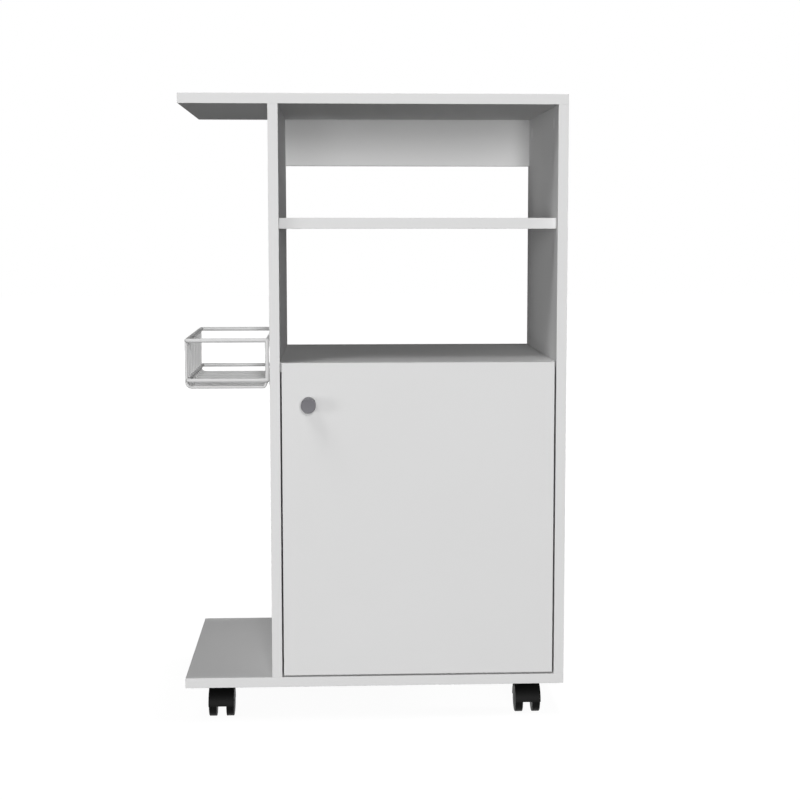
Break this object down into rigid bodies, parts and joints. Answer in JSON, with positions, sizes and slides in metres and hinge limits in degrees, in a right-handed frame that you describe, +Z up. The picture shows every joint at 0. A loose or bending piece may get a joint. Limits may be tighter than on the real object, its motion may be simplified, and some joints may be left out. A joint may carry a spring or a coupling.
{
  "type": "microwave cart",
  "caption": "White board kitchen cart on casters: open oven bay, middle shelf, cupboard with an inset door, and a side wing with a hung wire basket.",
  "frame": {"origin": "on the floor, under the middle of the whole outline in width and depth", "axes": "+Z up, -Y towards the door's side, +X to the right when facing the door"},
  "size_m": [0.57, 0.391, 0.935],
  "materials": {
    "white_board": "particle board with smooth white melamine faces and white edge bands, satin",
    "hardboard": "thin hardboard with a matt light coat",
    "zinc": "zinc plated steel",
    "white_cap": "smooth white plastic",
    "dowel_wood": "bare beech",
    "clear_rubber": "soft clear rubber",
    "knob_metal": "satin grey metal",
    "basket_wire": "light silver grey paint, satin",
    "caster_plastic": "fine-grained black plastic",
    "wheel_plastic": "smooth black plastic"
  },
  "bodies": {
    "cabinet": {"top_panel": "white_board", "left_side_panel": "white_board", "right_side_panel": "white_board", "base_panel": "white_board", "deck_panel": "white_board", "middle_shelf": "white_board", "back_rail": "white_board", "back_panel": "hardboard", "cam_locks": "zinc", "cam_bolts": "zinc", "cam_caps": "white_cap", "wood_dowels": "dowel_wood", "base_screws": "zinc", "back_panel_nails": "zinc", "door_bumpers": "clear_rubber", "hinge_arms": "zinc", "hinge_arm_screws": "zinc", "wire_basket": "basket_wire", "basket_screws": "zinc", "caster_screws": "zinc", "caster_plate_front_left": "caster_plastic", "caster_plate_front_right": "caster_plastic", "caster_plate_rear_left": "caster_plastic", "caster_plate_rear_right": "caster_plastic", "caster_kingpin_front_left": "zinc", "caster_kingpin_front_right": "zinc", "caster_kingpin_rear_left": "zinc", "caster_kingpin_rear_right": "zinc"},
    "door": {"door_panel": "white_board", "door_knob": "knob_metal", "knob_screw": "zinc", "hinge_cups": "zinc", "hinge_cup_screws": "zinc", "hinge_pins": "zinc"},
    "swivel_front_left": {"caster_hood_front_left": "caster_plastic", "caster_axle_front_left": "zinc"},
    "wheel_front_left_left": {"caster_wheel_front_left_left": "wheel_plastic"},
    "wheel_front_left_right": {"caster_wheel_front_left_right": "wheel_plastic"},
    "swivel_front_right": {"caster_hood_front_right": "caster_plastic", "caster_axle_front_right": "zinc"},
    "wheel_front_right_left": {"caster_wheel_front_right_left": "wheel_plastic"},
    "wheel_front_right_right": {"caster_wheel_front_right_right": "wheel_plastic"},
    "swivel_rear_left": {"caster_hood_rear_left": "caster_plastic", "caster_axle_rear_left": "zinc"},
    "wheel_rear_left_left": {"caster_wheel_rear_left_left": "wheel_plastic"},
    "wheel_rear_left_right": {"caster_wheel_rear_left_right": "wheel_plastic"},
    "swivel_rear_right": {"caster_hood_rear_right": "caster_plastic", "caster_axle_rear_right": "zinc"},
    "wheel_rear_right_left": {"caster_wheel_rear_right_left": "wheel_plastic"},
    "wheel_rear_right_right": {"caster_wheel_rear_right_right": "wheel_plastic"}
  },
  "joints": [
    {"name": "door_hinge", "type": "hinge", "parent": "cabinet", "child": "door", "pos_m": [0.2555, -0.1609, 0.30625], "axis": [0, 0, 1], "range_deg": [0, 95]},
    {"name": "swivel_front_left", "type": "hinge", "parent": "cabinet", "child": "swivel_front_left", "pos_m": [-0.233, -0.1145, 0.053], "axis": [0, 0, 1], "continuous": true},
    {"name": "roll_front_left_left", "type": "hinge", "parent": "swivel_front_left", "child": "wheel_front_left_left", "pos_m": [-0.2467, -0.1325, 0.0205], "axis": [1, 0, 0], "continuous": true},
    {"name": "roll_front_left_right", "type": "hinge", "parent": "swivel_front_left", "child": "wheel_front_left_right", "pos_m": [-0.2193, -0.1325, 0.0205], "axis": [1, 0, 0], "continuous": true},
    {"name": "swivel_front_right", "type": "hinge", "parent": "cabinet", "child": "swivel_front_right", "pos_m": [0.233, -0.1145, 0.053], "axis": [0, 0, 1], "continuous": true},
    {"name": "roll_front_right_left", "type": "hinge", "parent": "swivel_front_right", "child": "wheel_front_right_left", "pos_m": [0.2193, -0.1325, 0.0205], "axis": [1, 0, 0], "continuous": true},
    {"name": "roll_front_right_right", "type": "hinge", "parent": "swivel_front_right", "child": "wheel_front_right_right", "pos_m": [0.2467, -0.1325, 0.0205], "axis": [1, 0, 0], "continuous": true},
    {"name": "swivel_rear_left", "type": "hinge", "parent": "cabinet", "child": "swivel_rear_left", "pos_m": [-0.233, 0.1395, 0.053], "axis": [0, 0, 1], "continuous": true},
    {"name": "roll_rear_left_left", "type": "hinge", "parent": "swivel_rear_left", "child": "wheel_rear_left_left", "pos_m": [-0.2467, 0.1215, 0.0205], "axis": [1, 0, 0], "continuous": true},
    {"name": "roll_rear_left_right", "type": "hinge", "parent": "swivel_rear_left", "child": "wheel_rear_left_right", "pos_m": [-0.2193, 0.1215, 0.0205], "axis": [1, 0, 0], "continuous": true},
    {"name": "swivel_rear_right", "type": "hinge", "parent": "cabinet", "child": "swivel_rear_right", "pos_m": [0.233, 0.1395, 0.053], "axis": [0, 0, 1], "continuous": true},
    {"name": "roll_rear_right_left", "type": "hinge", "parent": "swivel_rear_right", "child": "wheel_rear_right_left", "pos_m": [0.2193, 0.1215, 0.0205], "axis": [1, 0, 0], "continuous": true},
    {"name": "roll_rear_right_right", "type": "hinge", "parent": "swivel_rear_right", "child": "wheel_rear_right_right", "pos_m": [0.2467, 0.1215, 0.0205], "axis": [1, 0, 0], "continuous": true}
  ]
}
